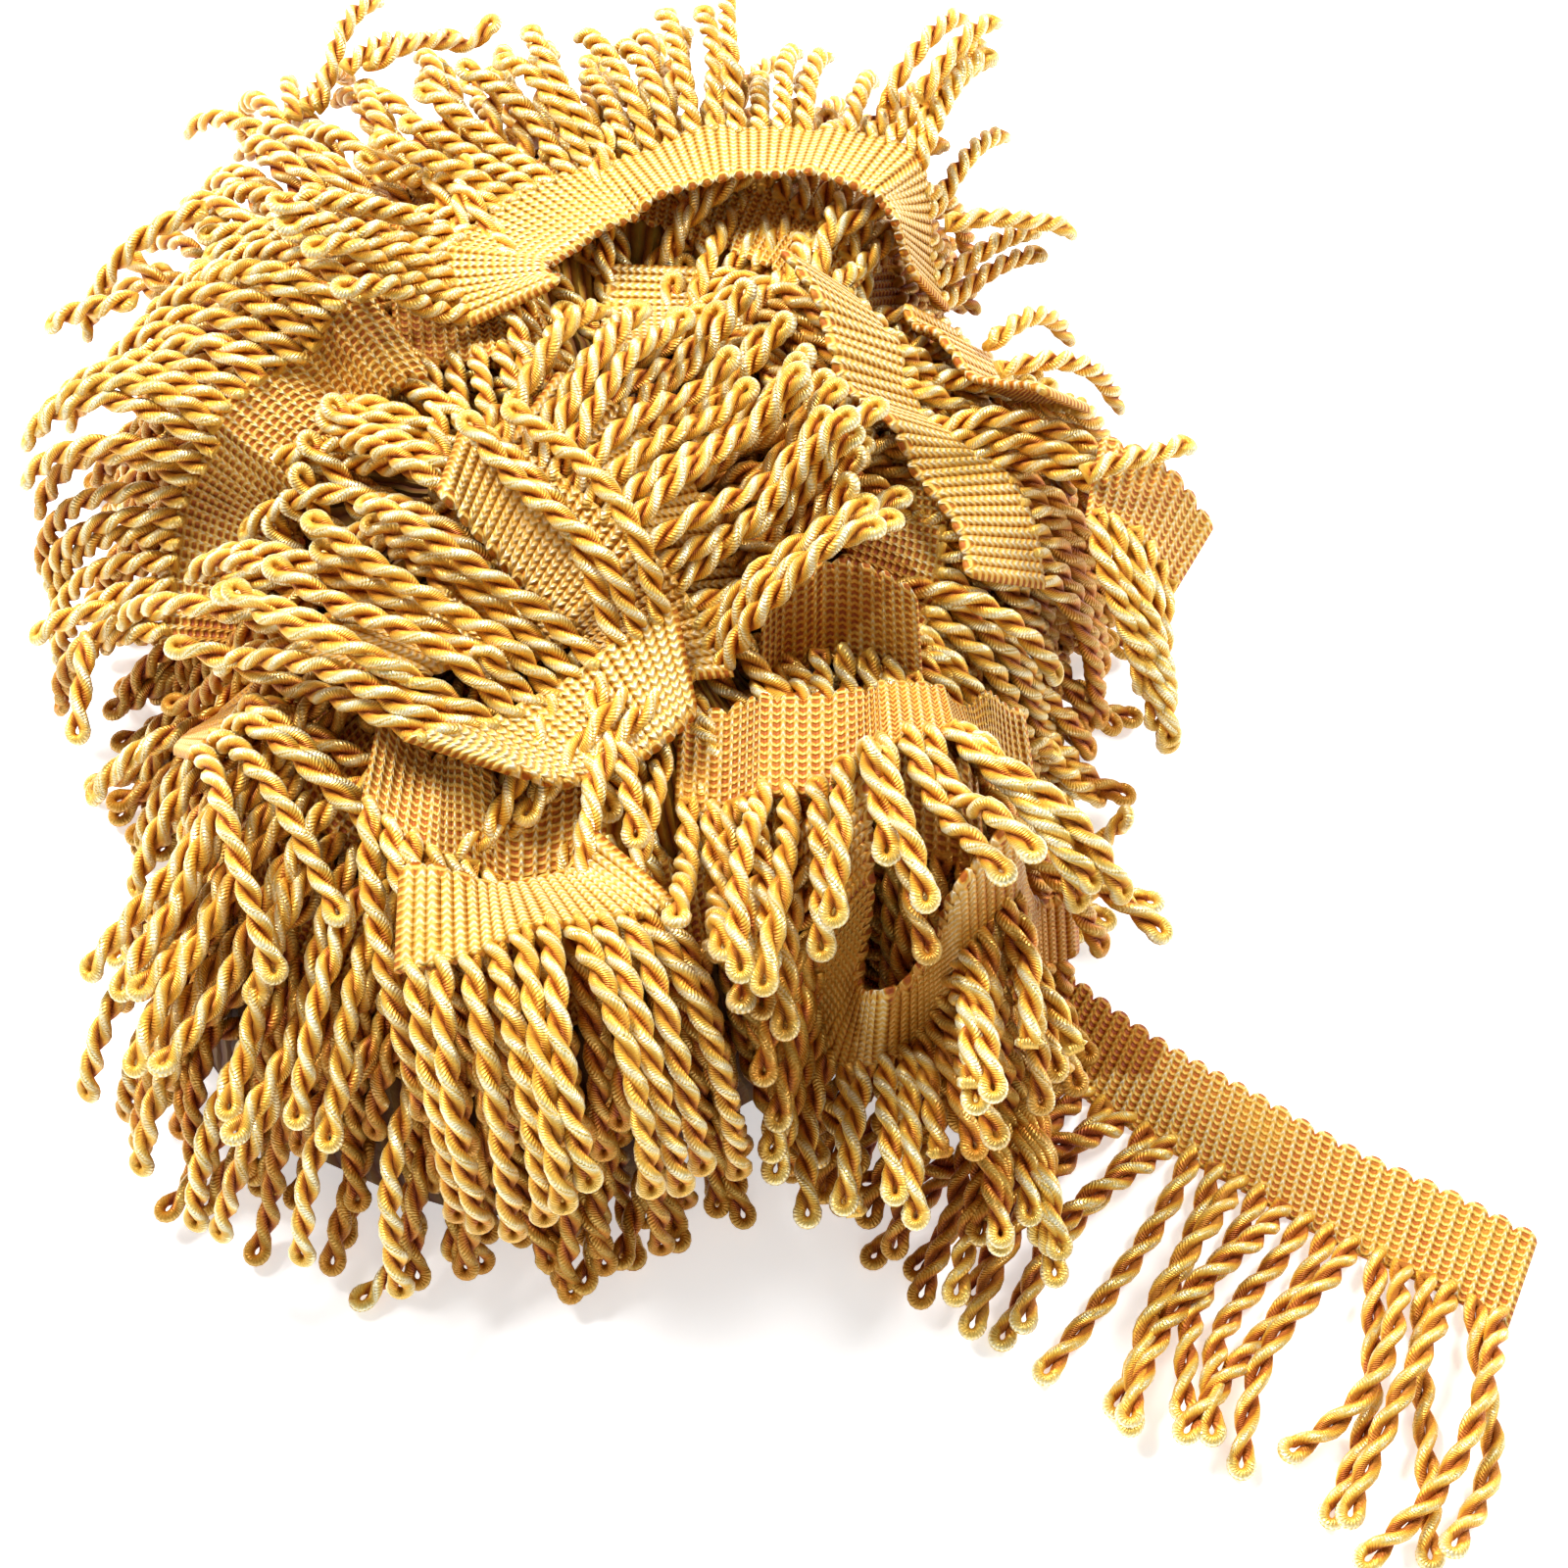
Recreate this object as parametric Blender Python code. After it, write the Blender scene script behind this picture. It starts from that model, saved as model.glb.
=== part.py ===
"""A heap of gold twisted bullion fringe: a wound core, turns of fringe laid over it and one flat loose tail.

Every turn of the fringe is a strip of heading with a row of ropes hanging from one edge. The turns are laid
one after another, each resting on the floor, on the core and on the turns already there.
"""

import math
from collections import namedtuple

import bmesh
import bpy
import numpy as np
from mathutils import Vector
from mathutils.bvhtree import BVHTree

MM = 0.001

# Driving sizes of the trim, in millimetres
HEADING_WIDTH = 16.0
HEADING_THICK = 1.7
ROPE_LENGTH = 43.0
# Turns whose ropes show a shorter length, with the rest of each rope crumpled beneath
SHORTER = {"loose_tail": 40.0, "turn_wavy": 33.0, "turn_right_fold": 30.0}
ROPE_PITCH = 5.7
ROPE_WIDE = 3.0
ROPE_THICK = 2.5
TIP_WIDE = 2.2
TIP_THICK = 1.7
TIP_TAPER = 4
GAP = 0.55
# How far the loosest turns are let down past that gap, so that they lie on what carries them
LET_DOWN = {"turn_far_right": 1.55, "turn_right_fold": 1.05}

# The wound core: its middle, its height and the radius of its foot, by compass angle
CORE_X, CORE_Y = 0.0, 5.0
CORE_HEIGHT = 54.0
CORE_FOOT = {
    0: 62, 40: 68, 65: 98, 90: 110, 115: 110, 140: 98, 160: 84, 180: 70,
    205: 64, 230: 95, 260: 94, 285: 76, 320: 60, 360: 62,
}
CORE_CORNER = 4.2
CORE_FALL = 0.7
CORE_SPOKES = 48
CORE_RINGS = 24
WINDINGS = 5
WINDING_RISE = 1.3

# Hollows that the turns leave open, by place, width and depth
Hollow = namedtuple("Hollow", "x y wide deep")
HOLLOWS = (
    Hollow(4, 52, 15, 14),
    Hollow(-46, -3, 13, 14),
    Hollow(-42, 26, 8, 8),
    Hollow(20, -12, 10, 8),
    Hollow(46, -42, 10, 10),
    Hollow(28, 34, 9, 9),
)

# The laying grid
CELL = 0.5
GRID_LOW_X, GRID_LOW_Y = -130.0, -150.0
GRID_WIDE, GRID_DEEP = 580, 600
ABOVE_ALL = 200.0

# How a rope hangs: how far it is worked out at a time, how fast and how steeply it bends down where nothing
# holds it, in how much of its length it turns to its own way, how far from its root it first meets the other
# ropes of its own turn, and in how many stretches it is worked out and drawn
STEP = 2.0
DROOP = 7.0
STEEPEST_FALL = 86
STEEPEST_CLIMB = 30
LEAST_LEVEL = 0.07
HANGING = 0.38
TURNING_LENGTH = 14.0
FREE_ROOT = 10.0
ROPE_CLEAR = 0.3
MOST_RAISED = 6.0
SMOOTHINGS = 18
FINE_PARTS = 24
ROPE_PARTS = 4
# Keeps the sides of a steep rope turned towards the way in which it falls
LEVEL_LEAD = 0.3

# How closely strips and ropes are written into the laying grid
MARKS = 36
MARKS_ACROSS = 7

# A row for each section of a turn: x and y are the scalloped edge, rib is the way from that edge to the
# ropes' roots, rise is how far the edge is tipped up off what the heading lies on, and fall is where the
# ropes go. A row with a held height isn't tipped with what it lies on: its roots are at least that high.
Row = namedtuple("Row", "x y rib rise fall held", defaults=(0,))
STEEPEST_HEADING = 50
HEADING_REACH = 2.2
TILT_REACH = 3.0
LEAST_FLATNESS = 0.5
ROW_SAMPLES = 24
TRACK_STEP = 1.0
TILT_PASSES = 3
TILT_SMOOTHINGS = 6
HEIGHT_PASSES = 8
HEADING_PARTS = 9

TAIL = (
    Row(62, -37, 236, 0, 216),
    Row(72, -48, 240, 0, 219),
    Row(84, -58, 244, 0, 228),
    Row(98, -67, 250, 0, 244),
    Row(112, -76, 250, 0, 254),
    Row(126, -83, 246, 0, 258),
    Row(138, -90, 245, 0, 254),
)

# Low turns that skirt the foot of the heap, and aprons above them: where each runs round the core, how far
# out its scalloped edge lies as a share of the core's foot, and how far its ropes swing off straight out
Skirt = namedtuple("Skirt", "name start end place swing")
SKIRTS = (
    Skirt("skirt_left", 152, 204, 0.70, 6),
    Skirt("skirt_front", 221, 292, 0.72, 8),
    Skirt("skirt_right", 296, 384, 0.70, -6),
    Skirt("skirt_back", 32, 146, 0.74, 0),
    Skirt("apron_front_left", 206, 246, 0.54, 14),
    Skirt("apron_right", 322, 376, 0.56, -8),
    Skirt("apron_back", 52, 172, 0.56, 2),
)
SKIRT_STEP = 14

# The turns on top, in the order in which they lie
TURNS = {
    "turn_left_top": (
        Row(-14, 30, 172, 0, 182),
        Row(-16, 40, 170, 0, 176),
        Row(-20, 52, 165, 0, 170),
    ),
    "turn_in_hollow": (
        Row(-4, 58, 2, 0, 310),
        Row(-4, 47, 0, 0, 305),
        Row(-3, 36, 358, 0, 300),
    ),
    "turn_left_hang": (
        Row(-36, 44, 275, 0, 284),
        Row(-26, 46, 280, 0, 288),
        Row(-15, 47, 290, 0, 296),
    ),
    "turn_right": (
        Row(24, 42, 8, 0, 352),
        Row(30, 32, 14, 0, 350),
        Row(33, 21, 20, 0, 346),
        Row(42, 12, 22, 0, 340),
        Row(50, 2, 24, 0, 334),
        Row(52, -7, 20, 0, 326),
    ),
    "turn_far_right": (
        Row(44, 52, 24, 0, 52),
        Row(50, 39, 28, 0, 46),
        Row(57, 27, 34, 0, 40),
        Row(63, 16, 36, 0, 32),
    ),
    "turn_right_fold": (
        Row(73, 17, 258, 0, 312, 22),
        Row(83, 16, 250, 0, 298, 20),
        Row(92, 10, 240, 0, 284, 18),
    ),
    "turn_left_rim": (
        Row(-28, 24, 132, -30, 154),
        Row(-38, 21, 142, -34, 162),
        Row(-46, 14, 152, -36, 170),
        Row(-53, 4, 164, -36, 176),
        Row(-56, -7, 176, -32, 182),
    ),
    "turn_left_fan": (
        Row(-61, -17, 4, 0, 348),
        Row(-62, -22, 346, 0, 336),
        Row(-63, -26, 326, 0, 312),
        Row(-64, -31, 304, 0, 284),
    ),
    "turn_front_cup": (
        Row(-31, -34, 262, 0, 292),
        Row(-25, -40, 268, 0, 290),
        Row(-17, -43, 272, 0, 284),
        Row(-8, -42, 270, 0, 280),
        Row(0, -39, 270, 0, 276),
    ),
    "turn_front": (
        Row(3, -42, 338, 0, 304),
        Row(1, -51, 322, 0, 294),
        Row(-6, -57, 300, 0, 287),
        Row(-15, -60, 284, 0, 280),
        Row(-26, -61, 272, 0, 272),
    ),
    "turn_small_loop": (
        Row(22, -16, 266, 50, 268),
        Row(30, -14, 270, 54, 272),
        Row(38, -15, 274, 56, 276),
        Row(44, -19, 282, 60, 284),
    ),
    "turn_under_band": (
        Row(40, -41, 266, 8, 264),
        Row(50, -42, 270, 8, 270),
        Row(58, -44, 274, 8, 276),
    ),
    "turn_wavy": (
        Row(67, -50, 312, 80, 286, 19),
        Row(60, -54, 306, 80, 284, 20),
        Row(53, -60, 300, 80, 282, 20),
        Row(46, -67, 294, 80, 278, 20),
        Row(39, -71, 262, 78, 270, 21),
        Row(36, -66, 222, 66, 264, 22),
        Row(37, -58, 200, 58, 262, 24),
        Row(36, -50, 190, 54, 260, 25),
    ),
    "turn_front_band": (
        Row(10, -29, 268, 0, 266),
        Row(21, -31, 269, 0, 268),
        Row(33, -31, 270, 0, 270),
        Row(44, -28, 272, 0, 274),
        Row(55, -24, 278, 0, 284),
        Row(61, -22, 286, 0, 292),
    ),
    "turn_centre_lower": (
        Row(-30, -32, 160, 0, 158),
        Row(-20, -30, 152, 0, 150),
        Row(-10, -24, 142, 0, 142),
        Row(-2, -14, 132, 0, 136),
    ),
    "turn_centre_right": (
        Row(-16, 8, 62, 0, 60),
        Row(-6, 0, 48, 0, 46),
        Row(2, -8, 32, 0, 30),
        Row(7, -16, 14, 0, 16),
    ),
    "turn_centre": (
        Row(-24, -6, 80, 0, 72),
        Row(-16, -12, 62, 0, 58),
        Row(-9, -17, 44, 0, 42),
        Row(-3, -22, 26, 0, 24),
        Row(2, -28, 8, 0, 6),
    ),
    "turn_back_arch": (
        Row(-9, 38, 190, 4, 200),
        Row(-12, 48, 176, 10, 186),
        Row(-7, 56, 146, 18, 158),
        Row(2, 62, 120, 24, 126),
        Row(14, 67, 98, 26, 100),
        Row(27, 67, 82, 26, 82),
        Row(38, 62, 62, 20, 58),
        Row(46, 54, 40, 12, 40),
    ),
    "turn_centre_fold": (
        Row(-12, -45, 172, 0, 160),
        Row(-6, -45, 160, 0, 154),
        Row(0, -43, 147, 0, 148),
        Row(5, -40, 134, 0, 143),
        Row(9, -37, 118, 0, 139),
        Row(12, -33, 102, 0, 136),
    ),
}


def clearScene():
    for item in list(bpy.data.objects):
        bpy.data.objects.remove(item, do_unlink=True)


def goldMaterial(name, colour, roughness):
    material = bpy.data.materials.new(name)
    material.use_nodes = True
    shader = material.node_tree.nodes["Principled BSDF"]
    shader.inputs["Base Color"].default_value = (*colour, 1.0)
    shader.inputs["Roughness"].default_value = roughness
    shader.inputs["Metallic"].default_value = 0.0
    return material


def wayOf(degrees):
    """The level unit vectors of compass angles in degrees."""
    turned = np.radians(degrees)
    return np.stack([np.cos(turned), np.sin(turned)], axis=-1)


def footRadius(degrees):
    """The core's foot radius at an angle, smooth between the angles of the table."""
    angles = np.array(sorted(CORE_FOOT), float)
    radii = np.array([CORE_FOOT[angle] for angle in sorted(CORE_FOOT)], float)
    around = np.asarray(degrees, float) % 360
    low = np.clip(np.searchsorted(angles, around, side="right") - 1, 0, len(angles) - 2)
    share = (around - angles[low]) / (angles[low + 1] - angles[low])
    blend = (1 - np.cos(share * math.pi)) / 2
    return radii[low] * (1 - blend) + radii[low + 1] * blend


def coreHeight(x, y, share, angle):
    """The core's height where it is this share of the way out: a fat cake with wound ridges and hollows."""
    rise = CORE_HEIGHT * (1 - share**CORE_CORNER) ** CORE_FALL
    ridges = WINDING_RISE * math.cos(2 * math.pi * (WINDINGS * share - angle / 360))
    sunk = sum(
        hollow.deep * math.exp(-(((x - hollow.x) ** 2 + (y - hollow.y) ** 2) / hollow.wide**2))
        for hollow in HOLLOWS
    )
    return max(rise + ridges * (1 - share) - sunk, 0.0)


def makeCore(material):
    """A sphere's upper half becomes the wound form, and its lower half is flattened into the foot."""
    shape = bmesh.new()
    bmesh.ops.create_uvsphere(shape, u_segments=CORE_SPOKES, v_segments=CORE_RINGS, radius=1.0)
    floorFaces = [face for face in shape.faces if face.calc_center_median().z < 0]
    bmesh.ops.dissolve_faces(shape, faces=floorFaces)
    for vertex in shape.verts:
        share = min(math.hypot(vertex.co.x, vertex.co.y), 1.0)
        angle = math.degrees(math.atan2(vertex.co.y, vertex.co.x)) % 360
        radius = float(footRadius(angle)) * share
        x = CORE_X + radius * math.cos(math.radians(angle))
        y = CORE_Y + radius * math.sin(math.radians(angle))
        height = coreHeight(x, y, share, angle) if vertex.co.z > 1e-4 else 0.0
        vertex.co = Vector((x, y, height)) * MM
    return finish(shape, "wound_core", material)


def finish(shape, name, material):
    bmesh.ops.recalc_face_normals(shape, faces=shape.faces)
    mesh = bpy.data.meshes.new(name)
    shape.to_mesh(mesh)
    shape.free()
    mesh.materials.append(material)
    made = bpy.data.objects.new(name, mesh)
    bpy.data.collections["tassel_fringe_trim"].objects.link(made)
    return made


class Pile:
    """The height of everything laid so far, on a grid of cells."""

    def __init__(self):
        self.height = np.zeros((GRID_WIDE, GRID_DEEP))
        self.gap = GAP

    def cells(self, x, y):
        column = np.clip(np.round((x - GRID_LOW_X) / CELL).astype(int), 0, GRID_WIDE - 1)
        row = np.clip(np.round((y - GRID_LOW_Y) / CELL).astype(int), 0, GRID_DEEP - 1)
        return column, row

    def addMesh(self, made):
        """The core, read from straight above."""
        tree = BVHTree.FromPolygons(
            [vertex.co.copy() for vertex in made.data.vertices],
            [tuple(face.vertices) for face in made.data.polygons],
        )
        for column in range(GRID_WIDE):
            for row in range(GRID_DEEP):
                place = Vector((GRID_LOW_X + column * CELL, GRID_LOW_Y + row * CELL, ABOVE_ALL)) * MM
                hit = tree.ray_cast(place, Vector((0, 0, -1)))[0]
                if hit:
                    self.height[column, row] = hit.z / MM

    def addPoints(self, points):
        column, row = self.cells(points[:, 0], points[:, 1])
        np.maximum.at(self.height, (column, row), points[:, 2])

    def top(self, x, y, reach):
        """The highest thing within reach of each place."""
        cells = int(math.ceil(reach / CELL))
        across, along = np.mgrid[-cells : cells + 1, -cells : cells + 1] * CELL
        near = np.hypot(across, along) <= reach
        spots = self.cells(np.add.outer(x, across[near]), np.add.outer(y, along[near]))
        return self.height[spots].max(axis=-1)


def smoothed(values, times):
    for _ in range(times):
        padded = np.concatenate([values[:1], values, values[-1:]])
        values = (padded[:-2] + 2 * padded[1:-1] + padded[2:]) / 4
    return values


def curveThrough(rows):
    """The rows of a turn as a smooth curve, sampled at an even spacing along the scalloped edge."""
    table = np.array([list(row) for row in rows], float)
    table[:, 2] = np.degrees(np.unwrap(np.radians(table[:, 2])))
    table[:, 4] = np.degrees(np.unwrap(np.radians(table[:, 4])))
    ends = np.concatenate([[2 * table[0] - table[1]], table, [2 * table[-1] - table[-2]]])
    fine = []
    for i in range(1, len(ends) - 2):
        before, start, end, after = ends[i - 1 : i + 3]
        for t in np.linspace(0, 1, ROW_SAMPLES, endpoint=False):
            fine.append(
                0.5
                * (
                    2 * start
                    + (end - before) * t
                    + (2 * before - 5 * start + 4 * end - after) * t**2
                    + (3 * start - before - 3 * end + after) * t**3
                )
            )
    fine.append(ends[-2])
    fine = np.array(fine)
    gone = np.concatenate([[0], np.cumsum(np.hypot(*np.diff(fine[:, :2], axis=0).T))])
    places = np.linspace(0, gone[-1], max(int(round(gone[-1] / TRACK_STEP)) + 1, 4))
    return np.stack([np.interp(places, gone, fine[:, k]) for k in range(table.shape[1])], axis=1)


def layHeading(pile, rows):
    """Rests the heading of a turn on the pile: edge and root lines in space, rib and fall angles, tilt."""
    track = curveThrough(rows)
    edge, (rib, rise, fall, held) = track[:, :2], track[:, 2:].T
    free = held < 1
    way = wayOf(rib)
    tilt = np.zeros(len(track))
    for _ in range(TILT_PASSES):
        root = edge + way * (HEADING_WIDTH * np.cos(np.radians(tilt)))[:, None]
        drop = pile.top(edge[:, 0], edge[:, 1], TILT_REACH) - pile.top(root[:, 0], root[:, 1], TILT_REACH)
        slope = np.degrees(np.arctan2(drop, HEADING_WIDTH * np.cos(np.radians(tilt)) + 1e-6))
        tilt = smoothed(np.clip(slope, -STEEPEST_HEADING, STEEPEST_HEADING), TILT_SMOOTHINGS) * free + rise
    cosine, sine = np.cos(np.radians(tilt)), np.sin(np.radians(tilt))
    root = edge + way * (HEADING_WIDTH * cosine)[:, None]
    needed = np.full(len(track), -1e9)
    for share in np.linspace(0, 1, HEADING_PARTS):
        spot = root + (edge - root) * share
        under = pile.top(spot[:, 0], spot[:, 1], HEADING_REACH)
        clear = np.where(under > 0, pile.gap, 0.0) + HEADING_THICK / 2 * np.maximum(cosine, LEAST_FLATNESS)
        needed = np.maximum(needed, under + clear - share * HEADING_WIDTH * sine)
    needed = np.maximum(needed, held)
    height = needed.copy()
    for _ in range(HEIGHT_PASSES):
        height = np.maximum(smoothed(height, 2), needed)
    roots = np.column_stack([root, height])
    edges = np.column_stack([edge, height + HEADING_WIDTH * sine])
    return edges, roots, rib, fall, tilt


def splitColumns(edges, roots, rib, fall, tilt):
    """Cuts the heading into columns, wide ones that carry a rope and narrow ones between."""
    gone = np.concatenate([[0], np.cumsum(np.linalg.norm(np.diff(roots, axis=0), axis=1))])
    ropes = max(int(gone[-1] / ROPE_PITCH), 2)
    pitch = gone[-1] / ropes
    side = (pitch - ROPE_WIDE) / 2
    places = [0.0]
    for i in range(ropes):
        places += [i * pitch + side, i * pitch + side + ROPE_WIDE]
    places.append(gone[-1])
    read = lambda values: np.interp(places, gone, values)
    cut = [np.stack([read(line[:, k]) for k in range(3)], axis=1) for line in (edges, roots)]
    return cut[0], cut[1], read(rib), read(fall), read(tilt), ropes


def ropeRest(ground, own, x, y, gone):
    """What a rope would rest on there: what lay before its turn, and past its free root its turn's ropes."""
    reach = ROPE_WIDE / 2 + ROPE_CLEAR
    bare = ground.top(x, y, reach)
    full = np.maximum(bare, np.minimum(own.top(x, y, reach), bare + ROPE_THICK + 2 * GAP))
    under = np.where(gone < FREE_ROOT, bare, full)
    return under + np.where(under > 0, ground.gap, 0.0)


def lengthsAlong(path):
    return np.concatenate([[0], np.cumsum(np.linalg.norm(np.diff(path, axis=0), axis=1))])


def layRope(ground, own, start, rib, fall, dip, length):
    """The path of one rope: off its root along the rib, bending to its own way and down on to the pile."""
    turn = ((fall - rib + 180) % 360) - 180
    path = [np.array(start, float)]
    down = math.radians(dip)
    for gone in np.arange(STEP, length + 3 * STEP, STEP):
        way = wayOf(rib + turn * min(gone / TURNING_LENGTH, 1.0))
        down = min(down + math.radians(DROOP) * math.cos(down), math.radians(STEEPEST_FALL))
        level = max(math.cos(down), LEAST_LEVEL) * STEP
        spot = path[-1] + [way[0] * level, way[1] * level, -math.sin(down) * STEP]
        rest = float(ropeRest(ground, own, spot[0], spot[1], gone)) + ROPE_THICK / 2
        if spot[2] < rest:
            spot[2] = rest
            down = max(math.atan2(path[-1][2] - rest, level), math.radians(-STEEPEST_CLIMB))
        path.append(spot)
    path = np.array(path)
    for _ in range(SMOOTHINGS):
        path[1:-1] = (path[:-2] + 2 * path[1:-1] + path[2:]) / 4
        step = np.gradient(path, axis=0)
        level = np.hypot(step[:, 0], step[:, 1]) / np.linalg.norm(step, axis=1)
        rest = ropeRest(ground, own, path[:, 0], path[:, 1], lengthsAlong(path))
        rest += ROPE_THICK / 2 / np.maximum(level, HANGING)
        path[1:, 2] = np.maximum(path[:, 2], rest)[1:]
    places = np.linspace(0, length, FINE_PARTS + 1)
    return np.stack([np.interp(places, lengthsAlong(path), path[:, k]) for k in range(3)], axis=1)


def fewSections(path):
    """A few points along a rope's path, raised where a straight stretch would cut what it rests on."""
    stride = FINE_PARTS // ROPE_PARTS
    few = path[::stride].copy()
    raised = np.zeros(len(few))
    shares = np.arange(1, stride) / stride
    for i in range(ROPE_PARTS):
        straight = few[i, 2] + (few[i + 1, 2] - few[i, 2]) * shares
        short = np.maximum(path[i * stride + 1 : (i + 1) * stride, 2] - straight, 0)
        if i:
            raised[i] = max(raised[i], short.max())
            raised[i + 1] = short.max()
        else:
            raised[1] = (short / shares).max()
    few[:, 2] += np.minimum(raised, MOST_RAISED)
    return few


def ropeFrames(points, fall):
    """The direction along a rope, the level one across it and the third one, at each of its points."""
    along = np.gradient(points, axis=0)
    along /= np.linalg.norm(along, axis=1)[:, None]
    level = along[:, :2] + wayOf(fall) * LEVEL_LEAD
    across = np.stack([-level[:, 1], level[:, 0], np.zeros(len(along))], axis=1)
    across -= along * np.sum(across * along, axis=1)[:, None]
    across /= np.linalg.norm(across, axis=1)[:, None]
    return along, across, np.cross(along, across)


def ropeSizes(count):
    share = np.linspace(0, 1, count)
    wide = ROPE_WIDE + (TIP_WIDE - ROPE_WIDE) * share**TIP_TAPER
    thick = ROPE_THICK + (TIP_THICK - ROPE_THICK) * share**TIP_TAPER
    return wide, thick


def markRope(pile, points, fall):
    """Writes a rope's top and sides into the pile."""
    wide, thick = ropeSizes(len(points))
    _, across, lifted = ropeFrames(points, fall)
    spots = []
    for i in range(len(points) - 1):
        for t in np.linspace(0, 1, MARKS):
            middle, side, up = (line[i] * (1 - t) + line[i + 1] * t for line in (points, across, lifted))
            for share in np.linspace(-0.5, 0.5, MARKS_ACROSS):
                spots.append(middle + side * (share * wide[i]) + up * (thick[i] / 2))
                spots.append(middle + side * (share * wide[i]) - up * (thick[i] / 2))
    pile.addPoints(np.array(spots))


def markHeading(pile, edges, roots, normal):
    """Writes both faces of a heading into the pile."""
    spots = []
    for i in range(len(edges) - 1):
        for t in np.linspace(0, 1, MARKS_ACROSS):
            low, high, up = (line[i] * (1 - t) + line[i + 1] * t for line in (roots, edges, normal))
            for share in np.linspace(0, 1, MARKS):
                spots.append(low + (high - low) * share + up * (HEADING_THICK / 2))
                spots.append(low + (high - low) * share - up * (HEADING_THICK / 2))
    pile.addPoints(np.array(spots))


def makeTurn(pile, name, rows, material):
    """One turn of fringe: a strip of heading with its ropes drawn out of the strip's lower edge."""
    pile.gap = GAP - LET_DOWN.get(name, 0.0)
    edges, roots, rib, fall, tilt, ropes = splitColumns(*layHeading(pile, rows))
    way = wayOf(rib)
    sine, cosine = np.sin(np.radians(tilt)), np.cos(np.radians(tilt))
    normal = np.column_stack([way * sine[:, None], cosine])
    columns = len(edges)
    shape = bmesh.new()
    bmesh.ops.create_grid(shape, x_segments=columns - 1, y_segments=1, size=1.0)
    shape.verts.ensure_lookup_table()
    layer = shape.verts.layers.int.new("place")
    for index, vertex in enumerate(shape.verts):
        vertex[layer] = index
    bottom = list(shape.faces)
    drawn = bmesh.ops.extrude_face_region(shape, geom=bottom)
    upper = {item for item in drawn["geom"] if isinstance(item, bmesh.types.BMVert)}
    for vertex in shape.verts:
        line, column = divmod(vertex[layer], columns)
        spot = (edges if line else roots)[column]
        side = 1 if vertex in upper else -1
        vertex.co = Vector(spot + normal[column] * (side * HEADING_THICK / 2)) * MM
    rootFaces = {}
    for face in shape.faces:
        places = {vertex[layer] for vertex in face.verts}
        if len(places) == 2 and max(places) < columns:
            rootFaces[min(places)] = face
    own = Pile()
    length = SHORTER.get(name, ROPE_LENGTH)
    for i in range(ropes):
        column = 2 * i + 1
        start = (roots[column] + roots[column + 1]) / 2
        path = layRope(pile, own, start, rib[column], fall[column], tilt[column], length)
        points = fewSections(path)
        markRope(own, points, fall[column])
        face = rootFaces[column]
        corners = [(2 * (vertex[layer] - column) - 1, 1 if vertex in upper else -1) for vertex in face.verts]
        drawRope(shape, face, corners, points, fall[column], roots[column + 1] - roots[column])
    markHeading(pile, edges, roots, normal)
    pile.height = np.maximum(pile.height, own.height)
    return finish(shape, name, material)


def drawRope(shape, face, corners, points, fall, sideways):
    """Draws a four-sided rope out of a face, section after section; each corner has a side and a level."""
    wide, thick = ropeSizes(len(points))
    _, across, lifted = ropeFrames(points, fall)
    turn = 1 if across[1].dot(sideways) > 0 else -1
    for i in range(1, len(points)):
        drawn = bmesh.ops.extrude_discrete_faces(shape, faces=[face])
        face = drawn["faces"][0]
        for vertex, (side, level) in zip(face.verts, corners):
            offset = across[i] * (turn * side * wide[i] / 2) + lifted[i] * (level * thick[i] / 2)
            vertex.co = Vector(points[i] + offset) * MM


def skirtRows(skirt):
    """The rows of a turn that follows the core's foot."""
    count = max(int(round((skirt.end - skirt.start) / SKIRT_STEP)) + 1, 3)
    rows = []
    for angle in np.linspace(skirt.start, skirt.end, count):
        reach = float(footRadius(angle)) * skirt.place
        way = wayOf(angle)
        rows.append(Row(CORE_X + reach * way[0], CORE_Y + reach * way[1], angle, 0, angle + skirt.swing))
    return rows


def main():
    clearScene()
    collection = bpy.data.collections.new("tassel_fringe_trim")
    bpy.context.scene.collection.children.link(collection)
    deepGold = goldMaterial("core_gold", (0.52, 0.24, 0.05), 0.55)
    gold = goldMaterial("fringe_gold", (0.80, 0.48, 0.14), 0.4)
    core = makeCore(deepGold)
    pile = Pile()
    pile.addMesh(core)
    makeTurn(pile, "loose_tail", TAIL, gold)
    for skirt in SKIRTS:
        makeTurn(pile, skirt.name, skirtRows(skirt), gold)
    for name, rows in TURNS.items():
        makeTurn(pile, name, rows, gold)


main()
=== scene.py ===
import math
from collections import namedtuple

import bpy
import numpy as np
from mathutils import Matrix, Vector
from mathutils.bvhtree import BVHTree


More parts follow.
